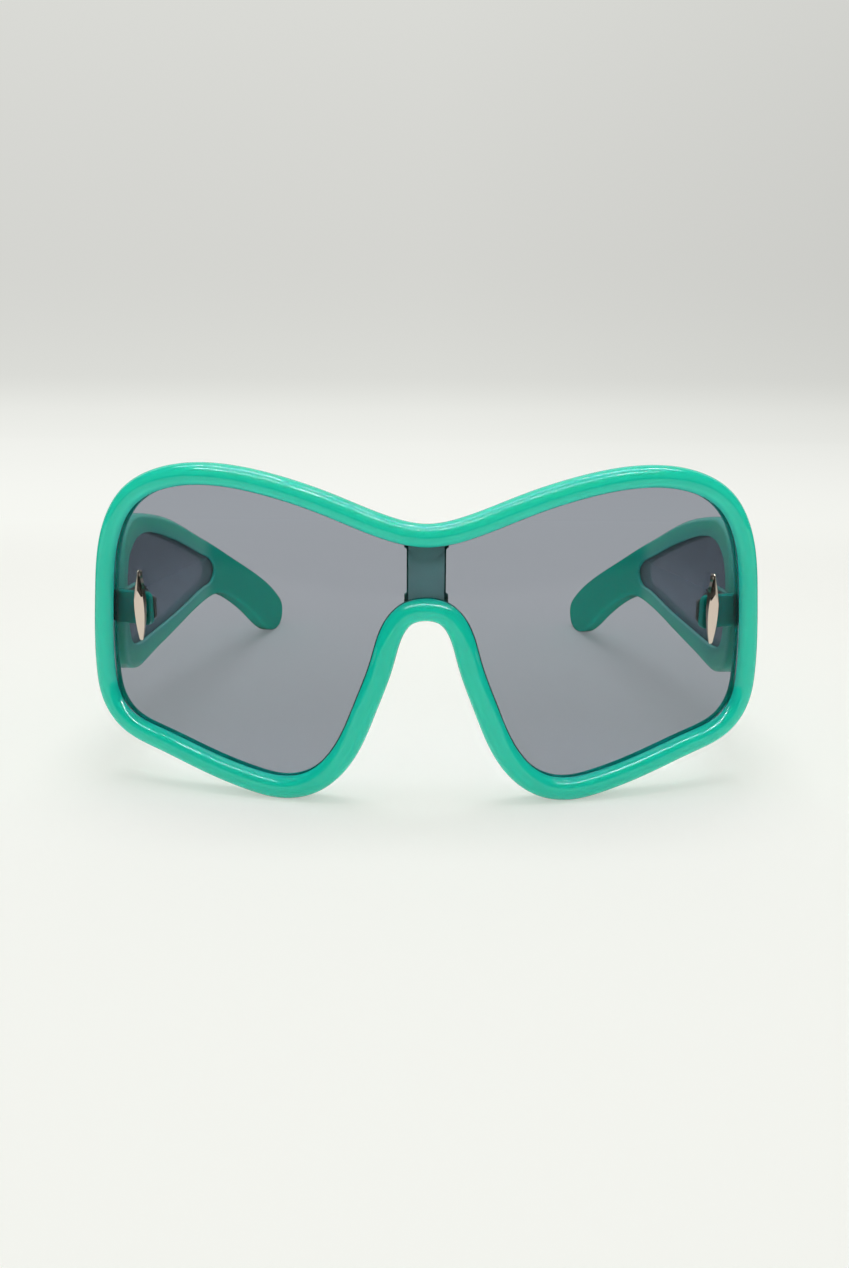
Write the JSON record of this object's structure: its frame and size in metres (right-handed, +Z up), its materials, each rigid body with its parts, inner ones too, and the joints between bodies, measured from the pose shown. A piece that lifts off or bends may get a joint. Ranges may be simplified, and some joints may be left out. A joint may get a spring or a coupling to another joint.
{
  "type": "shield sunglasses",
  "caption": "Oversized wrap shield sunglasses with a thick rounded rim, a smoked one-piece lens, faceted metal plaques and deep folding temples with lensed windows.",
  "frame": {"origin": "on the surface the glasses stand on, under the middle of their overall box", "axes": "+Z up, -Y out of the front of the lens, +X towards the wearer's left temple"},
  "size_m": [0.1476, 0.1584, 0.0717],
  "materials": {
    "mint_acetate": "polished, milky and slightly translucent",
    "smoke_lens": "clear grey tint, polished",
    "pale_gold": "polished pale gold plate",
    "hinge_metal": "satin nickel silver"
  },
  "bodies": {
    "front": {"front_frame": "mint_acetate", "shield_lens": "smoke_lens", "left_plaque": "pale_gold", "right_plaque": "pale_gold", "left_front_hinge_leaf": "hinge_metal", "right_front_hinge_leaf": "hinge_metal", "left_hinge_screw": "hinge_metal", "right_hinge_screw": "hinge_metal"},
    "left_arm": {"left_temple": "mint_acetate", "left_side_lens": "smoke_lens", "left_temple_hinge_leaf": "hinge_metal", "left_temple_front_rivet": "hinge_metal", "left_temple_rear_rivet": "hinge_metal"},
    "right_arm": {"right_temple": "mint_acetate", "right_side_lens": "smoke_lens", "right_temple_hinge_leaf": "hinge_metal", "right_temple_front_rivet": "hinge_metal", "right_temple_rear_rivet": "hinge_metal"}
  },
  "joints": [
    {"name": "left_temple_fold", "type": "hinge", "parent": "front", "child": "left_arm", "pos_m": [0.06408, -0.05607, 0.0394], "axis": [0, 0, 1], "range_deg": [0, 86]},
    {"name": "right_temple_fold", "type": "hinge", "parent": "front", "child": "right_arm", "pos_m": [-0.06408, -0.05607, 0.0394], "axis": [0, 0, -1], "range_deg": [0, 78]}
  ]
}
